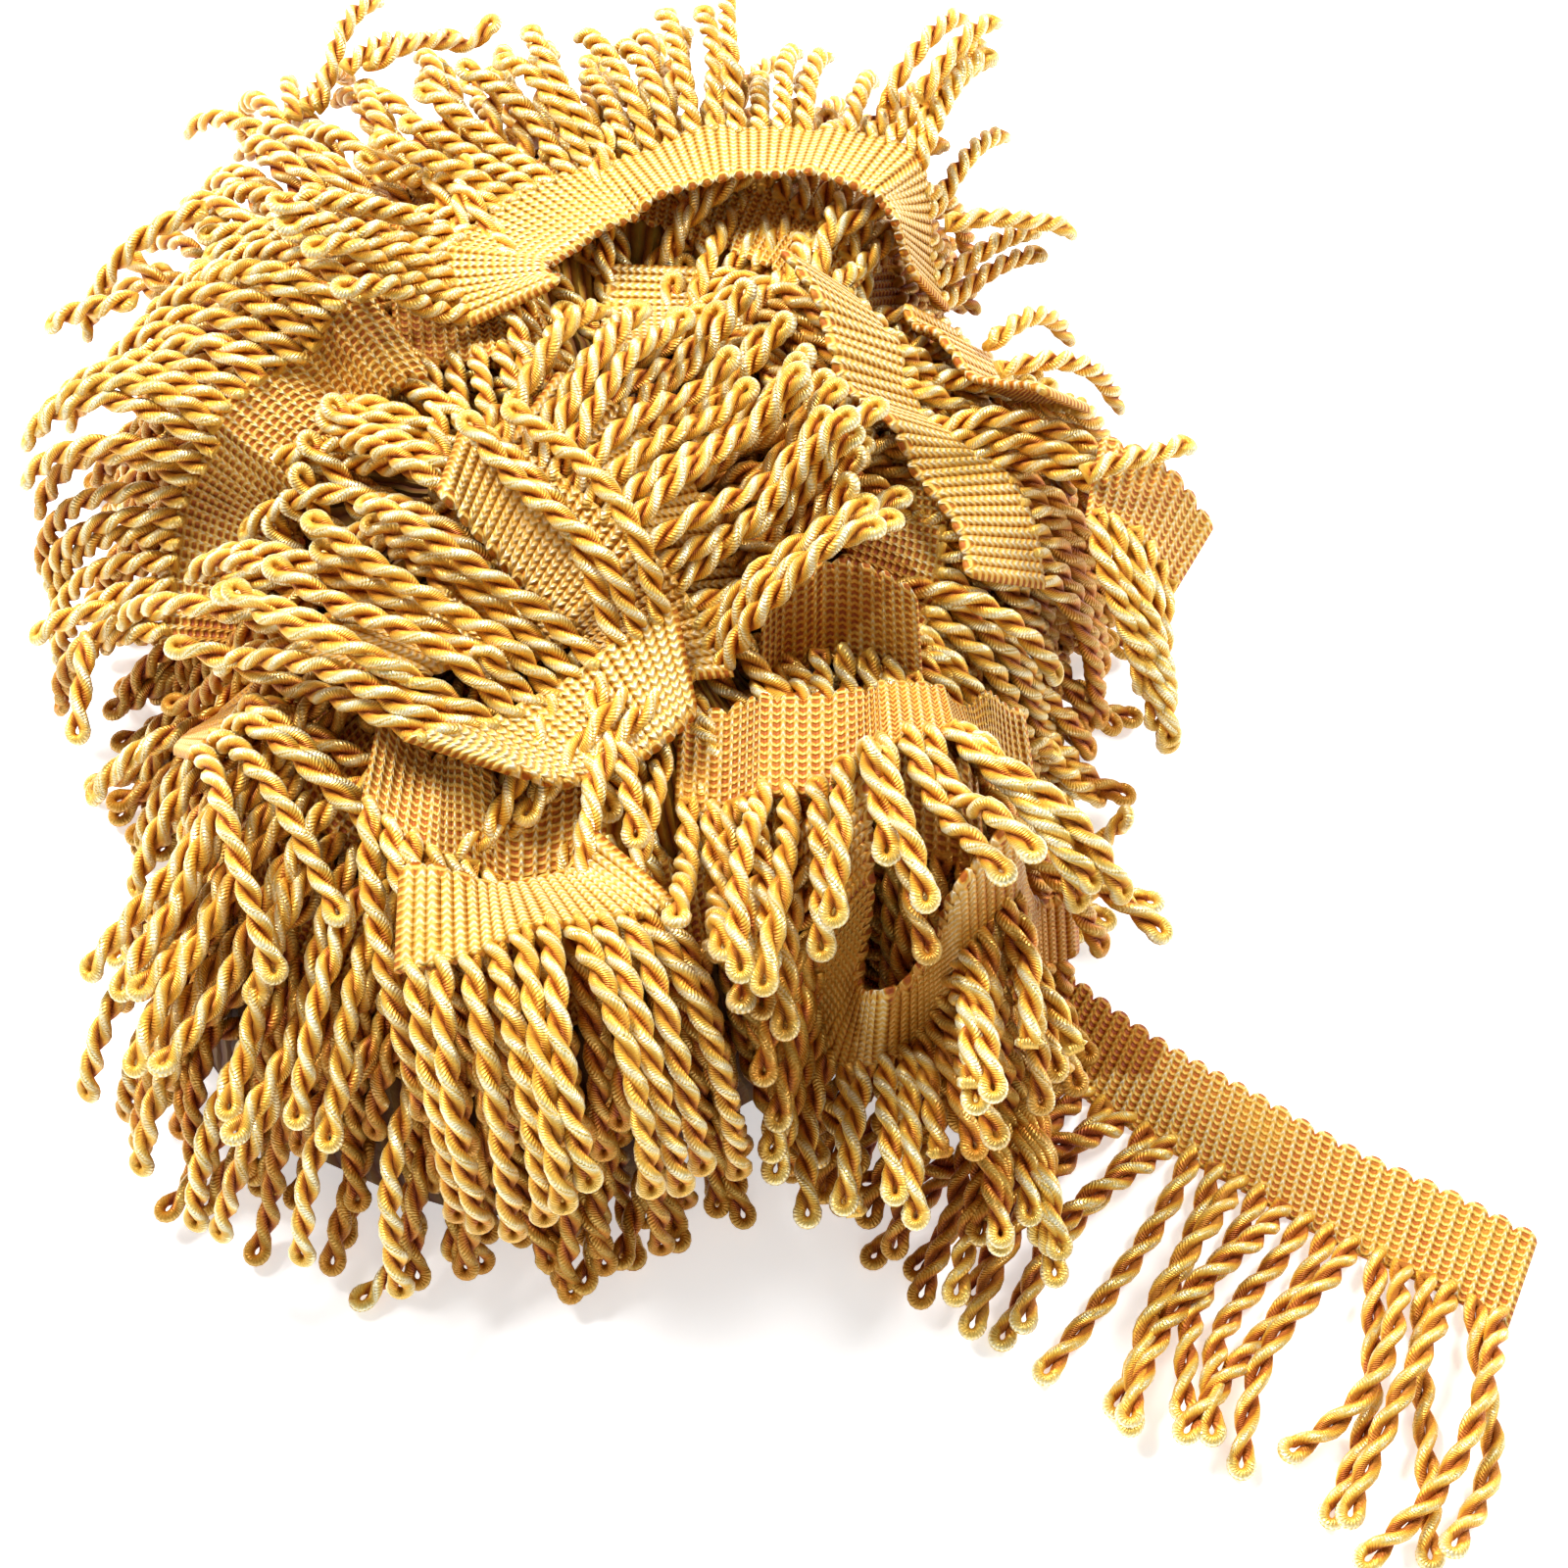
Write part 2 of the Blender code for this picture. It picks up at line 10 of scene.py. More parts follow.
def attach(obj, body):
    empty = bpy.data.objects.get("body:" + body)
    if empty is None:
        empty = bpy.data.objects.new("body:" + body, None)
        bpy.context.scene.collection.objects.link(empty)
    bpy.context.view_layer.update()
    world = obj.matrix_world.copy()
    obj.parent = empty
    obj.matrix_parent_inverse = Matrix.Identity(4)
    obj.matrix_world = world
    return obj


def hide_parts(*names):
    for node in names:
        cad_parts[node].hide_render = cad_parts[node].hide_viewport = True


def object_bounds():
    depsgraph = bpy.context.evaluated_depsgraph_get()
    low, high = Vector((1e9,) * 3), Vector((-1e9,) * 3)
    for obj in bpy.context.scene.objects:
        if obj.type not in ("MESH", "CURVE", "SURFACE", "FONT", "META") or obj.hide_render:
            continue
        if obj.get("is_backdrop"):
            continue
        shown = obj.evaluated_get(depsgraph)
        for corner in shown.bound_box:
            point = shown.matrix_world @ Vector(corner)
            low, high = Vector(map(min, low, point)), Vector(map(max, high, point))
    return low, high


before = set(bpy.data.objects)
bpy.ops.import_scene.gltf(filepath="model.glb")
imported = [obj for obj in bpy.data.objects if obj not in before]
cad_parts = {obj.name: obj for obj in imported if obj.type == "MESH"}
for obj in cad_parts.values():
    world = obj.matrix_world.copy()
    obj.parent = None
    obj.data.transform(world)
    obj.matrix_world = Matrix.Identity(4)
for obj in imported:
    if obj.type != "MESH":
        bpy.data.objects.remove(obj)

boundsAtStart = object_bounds()
mm = 0.001
leastLength = 1e-9

# The trim, in millimetres. One scallop of the heading carries one rope.
heading = {
    "width": 16.0,
    "thick": 1.0,
    "ribHeight": 0.5,
    "ribShare": 0.95,
    "scallopPitch": 3.7,
    "tailPitch": 3.9,
    "notch": 0.2,
    "fewestScallops": 3,
    "columnsPerScallop": 10,
    "rowsAcross": 20,
}
# The ropes of the trim. The turns in shorter have shorter ones.
rope = {
    "length": 44.0,
    "shorter": {
        "loose_tail": 43.0,
        "skirt_left": 36.0,
        "turn_left_rim": 37.0,
        "turn_left_top": 34.0,
        "turn_wavy": 25.0,
        "turn_right_fold": 30.0,
        "turn_front_band": 34.0,
        "turn_back_arch": 29.0,
        "skirt_back": 37.0,
        "apron_back": 35.0,
        "turn_centre": 37.0,
        "turn_centre_right": 31.0,
    },
    "plyRadius": 0.92,
    "plyOffset": 0.88,
    "tailOffset": 0.97,
    "layLength": 10.2,
    "layLengths": {"loose_tail": 12.0, "turn_back_arch": 7.4, "turn_left_top": 8.6},
    "pointsPerTurn": 9,
    "fewestPoints": 8,
    "roundness": 2,
    "rootShare": 0.06,
    "opening": 0.12,
    "openingWave": 7,
    "openingStart": 6,
    "eyeLength": 4.4,
    "eyeWidth": 3.3,
    "eyePoints": 9,
    "eyeFrom": 0.7,
    "eyeReach": 0.55,
    "eyeRound": 0.6,
    "eyeMiddle": 0.6,
    "eyePaintedShade": 0.55,
    "tailPaintedShade": 1.25,
    "wide": 3.5,
    "thick": 3.2,
}

# A row for each section of a turn: x and y are the scalloped edge, rib is the way from that edge to the
# ropes' roots, rise tips the edge up off what the heading lies on, and fall is where the ropes go. A row with
# a held height isn't tipped with what it lies on: its roots are at least that high.
Row = namedtuple("Row", "x y rib rise fall held", defaults=(0,))

tailRows = (
    Row(62, -37, 236, 0, 216),
    Row(72, -48, 240, 0, 219),
    Row(84, -58, 244, 0, 228),
    Row(98, -67, 250, 0, 244),
    Row(112, -76, 250, 0, 254),
    Row(126, -83, 246, 0, 258),
    Row(138, -90, 245, 0, 254),
)

# The core's foot, as its radius at each angle round its middle
coreMiddle = (0.0, 5.0)
coreFoot = {
    0: 62, 40: 68, 65: 98, 90: 110, 115: 110, 140: 98, 160: 84, 180: 70,
    205: 64, 230: 95, 260: 94, 285: 76, 320: 60, 360: 62,
}
# Low turns round the foot of the heap, and aprons above them. place is a share of the foot's radius.
Skirt = namedtuple("Skirt", "name start end place swing")
skirts = (
    Skirt("skirt_left", 152, 204, 0.70, 6),
    Skirt("skirt_front", 221, 292, 0.72, 8),
    Skirt("skirt_right", 296, 384, 0.70, -6),
    Skirt("skirt_back", 32, 146, 0.74, 0),
    Skirt("apron_front_left", 206, 246, 0.54, 14),
    Skirt("apron_right", 322, 376, 0.56, -8),
    Skirt("apron_back", 52, 172, 0.56, 2),
)
skirtStep = 14
fewestSkirtRows = 3

# The turns on top, in the order in which they lie
turns = {
    "turn_left_top": (
        Row(-14, 30, 172, 0, 182),
        Row(-16, 40, 170, 0, 176),
        Row(-20, 52, 165, 0, 170),
    ),
    "turn_in_hollow": (
        Row(-4, 58, 2, 0, 310),
        Row(-4, 47, 0, 0, 305),
        Row(-3, 36, 358, 0, 300),
    ),
    "turn_left_hang": (
        Row(-36, 44, 275, 0, 284),
        Row(-26, 46, 280, 0, 288),
        Row(-15, 47, 290, 0, 296),
    ),
    "turn_right": (
        Row(24, 42, 8, 0, 352),
        Row(30, 32, 14, 0, 350),
        Row(33, 21, 20, 0, 346),
        Row(42, 12, 22, 0, 340),
        Row(50, 2, 24, 0, 334),
        Row(52, -7, 20, 0, 326),
    ),
    "turn_far_right": (
        Row(44, 52, 24, 0, 52),
        Row(50, 39, 28, 0, 46),
        Row(57, 27, 34, 0, 40),
        Row(63, 16, 36, 0, 32),
    ),
    "turn_right_fold": (
        Row(73, 17, 258, 0, 312, 22),
        Row(83, 16, 250, 0, 298, 20),
        Row(92, 10, 240, 0, 284, 18),
    ),
    "turn_left_rim": (
        Row(-28, 24, 132, -30, 154),
        Row(-38, 21, 142, -34, 162),
        Row(-46, 14, 152, -36, 170),
        Row(-53, 4, 164, -36, 176),
        Row(-56, -7, 176, -32, 182),
    ),
    "turn_left_fan": (
        Row(-61, -17, 4, 0, 348),
        Row(-62, -22, 346, 0, 336),
        Row(-63, -26, 326, 0, 312),
        Row(-64, -31, 304, 0, 284),
    ),
    "turn_front_cup": (
        Row(-31, -34, 262, 0, 292),
        Row(-25, -40, 268, 0, 290),
        Row(-17, -43, 272, 0, 284),
        Row(-8, -42, 270, 0, 280),
        Row(0, -39, 270, 0, 276),
    ),
    "turn_front": (
        Row(-2, -52, 318, -24, 292),
        Row(-6, -57, 300, -28, 287),
        Row(-15, -60, 284, -28, 280),
        Row(-26, -61, 272, -26, 272),
    ),
    "turn_small_loop": (
        Row(22, -16, 266, 50, 268),
        Row(30, -14, 270, 54, 272),
        Row(38, -15, 274, 56, 276),
        Row(44, -19, 282, 60, 284),
    ),
    "turn_under_band": (
        Row(40, -41, 266, 8, 264),
        Row(50, -42, 270, 8, 270),
        Row(58, -44, 274, 8, 276),
    ),
    "turn_wavy": (
        Row(67, -50, 312, 80, 286, 19),
        Row(60, -54, 306, 80, 284, 20),
        Row(53, -60, 300, 80, 282, 20),
        Row(46, -67, 294, 80, 278, 20),
        Row(39, -71, 262, 78, 270, 21),
        Row(36, -66, 222, 66, 264, 22),
        Row(37, -58, 200, 58, 262, 24),
        Row(36, -50, 190, 54, 260, 25),
    ),
    "turn_front_band": (
        Row(10, -29, 268, 0, 266),
        Row(21, -31, 269, 0, 268),
        Row(33, -31, 270, 0, 270),
        Row(44, -28, 272, 0, 308),
        Row(55, -24, 278, 0, 334),
        Row(61, -22, 286, 0, 346),
    ),
    "turn_centre_lower": (
        Row(-30, -32, 160, 0, 158),
        Row(-20, -30, 152, 0, 150),
        Row(-10, -24, 142, 0, 142),
        Row(-2, -14, 132, 0, 136),
    ),
    "turn_centre_right": (
        Row(-16, 8, 62, 0, 60),
        Row(-6, 0, 48, 0, 46),
        Row(2, -8, 32, 0, 42),
        Row(7, -16, 14, 0, 36),
    ),
    "turn_centre": (
        Row(-24, -6, 80, 0, 72),
        Row(-16, -12, 62, 0, 58),
        Row(-9, -17, 44, 0, 42),
        Row(-3, -22, 26, 0, 38),
        Row(2, -28, 8, 0, 20),
    ),
    "turn_back_arch": (
        Row(-9, 38, 190, 4, 200),
        Row(-12, 48, 176, 10, 186),
        Row(-7, 56, 146, 18, 158),
        Row(2, 62, 120, 24, 126),
        Row(14, 67, 98, 26, 100),
        Row(27, 67, 82, 26, 82),
        Row(38, 62, 62, 20, 58),
        Row(46, 54, 40, 12, 40),
    ),
    "turn_centre_fold": (
        Row(-12, -45, 172, 0, 160),
        Row(-6, -45, 160, 0, 154),
        Row(0, -43, 147, 0, 148),
        Row(5, -40, 134, 0, 143),
        Row(9, -37, 118, 0, 139),
        Row(12, -33, 102, 0, 136),
    ),
}

# Ropes on their own: under the heap where the tail leaves it, and out of the heap
Stray = namedtuple("Stray", "x y way length")
tailStrays = (
    Stray(41, -56, 242, 31),
    Stray(45, -59, 245, 34),
    Stray(48, -61, 249, 36),
    Stray(51, -63, 253, 38),
    Stray(55, -65, 253, 40),
    Stray(58, -66, 257, 41),
    Stray(60, -69, 258, 29),
    Stray(49, -59, 243, 28),
    Stray(55, -62, 243, 33),
    Stray(62, -70, 251, 33),
)
strays = (
    Stray(-60, 100, 106, 46),
    Stray(-62, 98, 122, 38),
    Stray(-66, 98, 149, 23),
    Stray(-58, 102, 85, 30),
    Stray(-56, 102, 72, 30),
    Stray(-50, 104, 60, 37),
    Stray(-46, 104, 52, 37),
    Stray(-75, 86, 190, 22),
    Stray(-68, 62, 191, 37),
    Stray(-73, 49, 182, 32),
    Stray(-76, 41, 177, 17),
    Stray(-78, -2, 188, 16),
    Stray(-83, -5, 264, 17),
    Stray(68, -27, 8, 19),
    Stray(72, -33, 334, 16),
    Stray(70, 7, 33, 22),
    Stray(59, 34, 26, 36),
    Stray(58, 44, 44, 32),
    Stray(52, 67, 25, 29),
    Stray(47, 81, 57, 26),
    Stray(42, 83, 61, 30),
)


def wayOf(degrees):
    turned = np.radians(degrees)
    return np.stack([np.cos(turned), np.sin(turned)], axis=-1)


def smoothed(values, times):
    for _ in range(times):
        padded = np.concatenate([values[:1], values, values[-1:]])
        values = (padded[:-2] + 2 * padded[1:-1] + padded[2:]) / 4
    return values


def lengthsAlong(path):
    return np.concatenate([[0], np.cumsum(np.linalg.norm(np.diff(path, axis=0), axis=1))])


def readAt(places, gone, line):
    # Points of a line at some places, where gone is the place of each point that it has
    return np.stack([np.interp(places, gone, line[:, k]) for k in range(3)], axis=-1)


def unit(lines):
    return lines / np.maximum(np.linalg.norm(lines, axis=-1, keepdims=True), leastLength)


def chanceOf(name):
    # Each piece draws its own chances, so that a change to one leaves the others as they are
    return np.random.default_rng([lie["seed"], *name.encode()])


# The pile of all that is laid is a grid of heights. Marks set how densely each new thing is entered in it.
grid = {"cell": 0.5, "lowX": -135.0, "lowY": -155.0, "wide": 600, "deep": 620, "above": 200.0}
marks = {"perRopePart": 4, "acrossRope": 7, "acrossHeading": 40, "perSection": 6}


class Pile:
    # The height of all that is laid so far, on a grid of cells
    def __init__(self):
        self.height = np.zeros((grid["wide"], grid["deep"]))

    def cells(self, x, y):
        column = np.clip(np.round((x - grid["lowX"]) / grid["cell"]).astype(int), 0, grid["wide"] - 1)
        row = np.clip(np.round((y - grid["lowY"]) / grid["cell"]).astype(int), 0, grid["deep"] - 1)
        return column, row

    def addMesh(self, made):
        mesh = made.data
        corners = [vertex.co.copy() for vertex in mesh.vertices]
        tree = BVHTree.FromPolygons(corners, [tuple(face.vertices) for face in mesh.polygons])
        down = Vector((0, 0, -1))
        for column in range(grid["wide"]):
            x = grid["lowX"] + column * grid["cell"]
            for row in range(grid["deep"]):
                above = Vector((x, grid["lowY"] + row * grid["cell"], grid["above"]))
                hit = tree.ray_cast(above * mm, down)[0]
                if hit:
                    self.height[column, row] = hit.z / mm

    def addPoints(self, points):
        np.maximum.at(self.height, self.cells(points[:, 0], points[:, 1]), points[:, 2])

    def top(self, x, y, reach):
        cells = int(math.ceil(reach / grid["cell"]))
        across, along = np.mgrid[-cells : cells + 1, -cells : cells + 1] * grid["cell"]
        near = np.hypot(across, along) <= reach
        spots = self.cells(np.add.outer(x, across[near]), np.add.outer(y, along[near]))
        return self.height[spots].max(axis=-1)

    def spread(self, reach):
        cells = int(round(reach / grid["cell"]))
        wide = self.height
        for axis in (0, 1):
            wide = np.max([np.roll(wide, k, axis) for k in range(-cells, cells + 1)], axis=0)
        return wide


def curveThrough(rows, samples=24, spacing=1.0):
    # A smooth line through the rows, with a point for each millimetre. rib and fall take the short way round.
    table = np.array([list(row) for row in rows], float)
    for column in (Row._fields.index("rib"), Row._fields.index("fall")):
        table[:, column] = np.degrees(np.unwrap(np.radians(table[:, column])))
    ends = np.concatenate([[2 * table[0] - table[1]], table, [2 * table[-1] - table[-2]]])
    fine = []
    for i in range(1, len(ends) - 2):
        before, start, end, after = ends[i - 1 : i + 3]
        for t in np.linspace(0, 1, samples, endpoint=False):
            bend = (2 * before - 5 * start + 4 * end - after) * t**2
            twist = (3 * start - before - 3 * end + after) * t**3
            fine.append(0.5 * (2 * start + (end - before) * t + bend + twist))
    fine.append(ends[-2])
    fine = np.array(fine)
    gone = lengthsAlong(fine[:, :2])
    places = np.linspace(0, gone[-1], max(int(round(gone[-1] / spacing)) + 1, 4))
    return np.stack([np.interp(places, gone, fine[:, k]) for k in range(table.shape[1])], axis=1)


# How a heading comes to rest on the pile: first its tilt in rounds, then its height in rounds
settle = {
    "tiltRounds": 3,
    "leastRun": 1e-6,
    "tiltFeel": 3.0,
    "steepest": 50,
    "tiltSmoothings": 6,
    "spotsAcross": 9,
    "heightFeel": 2.0,
    "heightRounds": 8,
    "heightSmoothings": 2,
}


def layHeading(pile, rows):
    # Edge and root lines of a heading that rests on the pile
    track = curveThrough(rows)
    edge, (rib, rise, fall, held) = track[:, :2], track[:, 2:].T
    free = held < 1
    way = wayOf(rib)
    tilt = np.zeros(len(track))
    for _ in range(settle["tiltRounds"]):
        run = heading["width"] * np.cos(np.radians(tilt))
        root = edge + way * run[:, None]
        drop = pile.top(*edge.T, settle["tiltFeel"]) - pile.top(*root.T, settle["tiltFeel"])
        slope = np.degrees(np.arctan2(drop, run + settle["leastRun"]))
        slope = np.clip(slope, -settle["steepest"], settle["steepest"])
        tilt = smoothed(slope, settle["tiltSmoothings"]) * free + rise
    cosine, sine = np.cos(np.radians(tilt)), np.sin(np.radians(tilt))
    root = edge + way * (heading["width"] * cosine)[:, None]
    needed = held.copy()
    for share in np.linspace(0, 1, settle["spotsAcross"]):
        spot = root + (edge - root) * share
        under = pile.top(*spot.T, settle["heightFeel"])
        clear = np.where(under > 0, lie["gap"], 0.0) + heading["thick"]
        needed = np.maximum(needed, under + clear - share * heading["width"] * sine)
    height = needed.copy()
    for _ in range(settle["heightRounds"]):
        height = np.maximum(smoothed(height, settle["heightSmoothings"]), needed)
    roots = np.column_stack([root, height])
    edges = np.column_stack([edge, height + heading["width"] * sine])
    normal = np.column_stack([way * sine[:, None], cosine])
    return edges, roots, normal, rib, fall, tilt


# How ropes lie: each differs a little from its neighbours
lie = {
    "seed": 11,
    "wayJitter": 4.5,
    "lengthJitter": 2.0,
    "tailJitter": 13.0,
    "sway": 7.0,
    "tailSway": 15.0,
    "swayWave": 5.0,
    "layJitter": 0.06,
    "step": 2.0,
    "spareSteps": 3,
    "strayDip": -6,
    "strayFeel": 1.5,
    "droop": 6.2,
    "steepestFall": 86,
    "steepestClimb": 30,
    "leastLevel": 0.07,
    "hanging": 0.38,
    "towardsFall": 0.3,
    "turningLength": 14.0,
    "freeRoot": 8.0,
    "clear": 0.2,
    "gap": 0.15,
    "smoothings": 12,
    "parts": 44,
}


def ropeRest(ground, own, x, y, gone):
    # What a rope rests on: the ground, and past its root the turn's own ropes too, but only one of them deep
    reach = rope["wide"] / 2 + lie["clear"]
    bare = ground.top(x, y, reach)
    full = np.maximum(bare, np.minimum(own.top(x, y, reach), bare + rope["thick"] + lie["gap"]))
    under = np.where(gone < lie["freeRoot"], bare, full)
    return under + np.where(under > 0, lie["gap"], 0.0)


def layRope(ground, own, start, rib, fall, dip, length, sway):
    # A rope leaves its root along the rib, bends to its own way and falls on to the pile
    turn = ((fall - rib + 180) % 360) - 180
    path = [np.array(start, float)]
    down = math.radians(dip)
    for gone in np.arange(lie["step"], length + lie["spareSteps"] * lie["step"], lie["step"]):
        swing = sway * math.sin(gone / length * lie["swayWave"])
        way = wayOf(rib + turn * min(gone / lie["turningLength"], 1.0) + swing)
        down += math.radians(lie["droop"]) * math.cos(down)
        down = min(down, math.radians(lie["steepestFall"]))
        level = max(math.cos(down), lie["leastLevel"]) * lie["step"]
        spot = path[-1] + [way[0] * level, way[1] * level, -math.sin(down) * lie["step"]]
        rest = float(ropeRest(ground, own, spot[0], spot[1], gone)) + rope["thick"] / 2
        if spot[2] < rest:
            spot[2] = rest
            down = max(math.atan2(path[-1][2] - rest, level), -math.radians(lie["steepestClimb"]))
        path.append(spot)
    path = np.array(path)
    for _ in range(lie["smoothings"]):
        path[1:-1] = (path[:-2] + 2 * path[1:-1] + path[2:]) / 4
        step = np.gradient(path, axis=0)
        level = np.hypot(step[:, 0], step[:, 1]) / np.linalg.norm(step, axis=1)
        rest = ropeRest(ground, own, path[:, 0], path[:, 1], lengthsAlong(path))
        rest += rope["thick"] / 2 / np.maximum(level, lie["hanging"])
        path[1:, 2] = np.maximum(path[:, 2], rest)[1:]
    gone = lengthsAlong(path)
    return readAt(np.linspace(0, length, lie["parts"] + 1), gone, path)


def levelAcross(path, fall):
    # Along a rope, level across it and up from both. The fall keeps a steep rope's level from turning round.
    along = unit(np.gradient(path, axis=0))
    level = along[:, :2] + wayOf(fall) * lie["towardsFall"]
    across = np.stack([-level[:, 1], level[:, 0], np.zeros(len(along))], axis=1)
    across = unit(across - along * np.sum(across * along, axis=1)[:, None])
    return along, across, np.cross(along, across)


def markRope(pile, path, fall):
    _, across, lifted = levelAcross(path, fall)
    fine = np.linspace(0, len(path) - 1, marks["perRopePart"] * len(path))
    middle, side, up = (readAt(fine, np.arange(len(path)), line) for line in (path, across, lifted))
    for share in np.linspace(-0.5, 0.5, marks["acrossRope"]):
        for face in (-0.5, 0.5):
            pile.addPoints(middle + side * (share * rope["wide"]) + up * (face * rope["thick"]))


def markHeading(pile, edges, roots, normal):
    for share in np.linspace(0, 1, marks["acrossHeading"]):
        for t in np.linspace(0, 1, marks["perSection"], endpoint=False):
            low = roots[:-1] * (1 - t) + roots[1:] * t
            high = edges[:-1] * (1 - t) + edges[1:] * t
            up = normal[:-1] * (1 - t) + normal[1:] * t
            for face in (-0.5, 1.0):
                pile.addPoints(low + (high - low) * share + up * (face * heading["thick"]))


def ribRelief(across, up):
    # How high the cords stand: two ribs to a scallop, joined round its top. across is -1 to 1 over a scallop.
    quarter = heading["scallopPitch"] / 4
    turnAt = heading["width"] - 2 * quarter
    x = np.abs(across) * heading["scallopPitch"] / 2
    away = np.where(up > turnAt, np.hypot(x, up - turnAt), x)
    share = (away - quarter) / (quarter * heading["ribShare"])
    return heading["ribHeight"] * np.sqrt(np.clip(1 - share**2, 0, 1))


def select(made):
    bpy.ops.object.select_all(action="DESELECT")
    made.select_set(True)
    bpy.context.view_layer.objects.active = made


def makeHeading(name, edges, roots, normal, scallops):
    columns = scallops * heading["columnsPerScallop"]
    rows = heading["rowsAcross"]
    bpy.ops.mesh.primitive_grid_add(x_subdivisions=columns, y_subdivisions=rows, size=1.0)
    made = bpy.context.object
    made.name = name
    mesh = made.data
    place = np.zeros(len(mesh.vertices) * 3, np.float32)
    mesh.vertices.foreach_get("co", place)
    place = place.reshape(-1, 3)
    along, share = place[:, 0] + 0.5, place[:, 1] + 0.5
    gone = lengthsAlong(roots)
    low, high, up = (readAt(along * gone[-1], gone, line) for line in (roots, edges, normal))
    up = unit(up)
    across = (along * scallops % 1.0) * 2 - 1
    radius = heading["scallopPitch"] / 2
    aside = np.abs(across) * radius
    bow = np.sqrt(np.maximum(radius**2 - aside**2, (heading["notch"] * radius) ** 2))
    rise = share * (heading["width"] - radius + bow)
    relief = ribRelief(across, rise)
    spot = low + (high - low) * (rise / heading["width"])[:, None]
    spot += up * (relief - heading["thick"] / 2)[:, None]
    mesh.vertices.foreach_set("co", (spot * mm).astype(np.float32).ravel())
    corners = np.zeros(len(mesh.loops), np.int32)
    mesh.loops.foreach_get("vertex_index", corners)
    flat = np.stack([along * scallops, rise / heading["width"]], axis=1)[corners]
    layer = mesh.uv_layers[0] if mesh.uv_layers else mesh.uv_layers.new(name="UVMap")
    layer.data.foreach_set("uv", flat.astype(np.float32).ravel())
    mesh.update()
    select(made)
    solid = made.modifiers.new("thickness", "SOLIDIFY")
    solid.thickness = heading["thick"] * mm
    solid.offset = -1.0
    bpy.ops.object.modifier_apply(modifier=solid.name)
    bpy.ops.object.shade_smooth()
    return made


def plyPaths(path, fall, hand, lay, chance):
    # Both plies of a rope as one closed line: out along one ply, round the eye and back along the other. hand
    # is 1 for ropes twisted as on the flat tail and -1 for those of the heap, which twist the other way.
    lay *= 1 + lie["layJitter"] * chance.normal()
    along, across, lifted = levelAcross(path, fall)
    gone = lengthsAlong(path)
    reach = gone[-1] - rope["eyeLength"] * rope["eyeFrom"]
    count = max(int(reach / lay * rope["pointsPerTurn"]), rope["fewestPoints"])
    places = np.linspace(0, reach, count)
    middle, side, up = (readAt(places, gone, line) for line in (path, across, lifted))
    side, up = unit(side), unit(up)
    turnsDone = reach / lay
    phase = hand * 2 * math.pi * (places / lay - turnsDone)
    offset = rope["tailOffset" if hand > 0 else "plyOffset"]
    most = rope["opening"] * chance.random()
    wave = np.sin(places / rope["openingWave"] + chance.random() * rope["openingStart"])
    opening = offset * (1 + most * wave)
    ring = side * np.cos(phase)[:, None] + up * np.sin(phase)[:, None]
    first = middle + ring * opening[:, None]
    second = middle - ring * opening[:, None]
    end = middle[-1]
    ahead = unit(np.array([path[-1] - path[-3]]))[0]
    bend = np.linspace(0, math.pi, rope["eyePoints"] + 2)[1:-1]
    wideness = offset + (rope["eyeWidth"] / 2 - offset) * np.sin(bend) ** rope["eyeRound"]
    farness = np.sin(bend) * rope["eyeLength"] * rope["eyeReach"]
    eye = end + side[-1] * (np.cos(bend) * wideness)[:, None] + ahead * farness[:, None]
    points = np.concatenate([first, eye, second[::-1]])
    inEye = np.repeat([end + ahead * rope["eyeMiddle"]], len(eye), axis=0)
    axis = np.concatenate([middle, inEye, middle[::-1]])
    # The scale on inward gives the tail's plies more painted shade and the eye less, as it has no slit
    inwardShadeScale = np.full(len(points), rope["tailPaintedShade"] if hand > 0 else 1.0)
    inwardShadeScale[count:-count] = rope["eyePaintedShade"]
    return points, axis, inwardShadeScale


def makeRopes(name, lines, chance):
    # Every rope is one closed spline with a round section. For the material, each point keeps how far it
    # faces the rope's middle, which places the painted highlight and painted shade, how far along it is and
    # the rope's own shade, a random tint.
    curve = bpy.data.curves.new(name, "CURVE")
    curve.dimensions = "3D"
    curve.bevel_depth = rope["plyRadius"] * mm
    curve.bevel_resolution = rope["roundness"]
    for points, _, _ in lines:
        spline = curve.splines.new("POLY")
        spline.points.add(len(points) - 1)
        spline.points.foreach_set("co", np.column_stack([points * mm, np.ones(len(points))]).ravel())
        spline.use_cyclic_u = True
        spline.use_smooth = True
    made = bpy.data.objects.new(name, curve)
    bpy.context.scene.collection.objects.link(made)
    select(made)
    bpy.ops.object.convert(target="MESH")
    made = bpy.context.object
    mesh = made.data
    total = sum(len(line[0]) for line in lines)
    sides = len(mesh.vertices) // total
    place = np.zeros(len(mesh.vertices) * 3, np.float32)
    mesh.vertices.foreach_get("co", place)
    place = place.reshape(-1, 3) / mm
    middles = np.concatenate([line[0] for line in lines])
    outward = unit(middles - np.concatenate([line[1] for line in lines]))
    side = unit(place - np.repeat(middles, sides, axis=0))
    facing = np.sum(side * np.repeat(outward, sides, axis=0), axis=1)
    inwardShadeScale = np.repeat(np.concatenate([line[2] for line in lines]), sides)
    inward = np.arccos(np.clip(facing, -1, 1)) / math.pi * inwardShadeScale
    gone = np.repeat(np.concatenate([lengthsAlong(line[0]) for line in lines]), sides)
    shades = np.repeat(chance.random(len(lines)), [len(line[0]) * sides for line in lines])
    for label, values in (("inward", inward), ("along", gone), ("ropeShade", shades)):
        held = mesh.attributes.new(label, "FLOAT", "POINT")
        held.data.foreach_set("value", values.astype(np.float32))
    bpy.ops.object.shade_smooth()
    return made


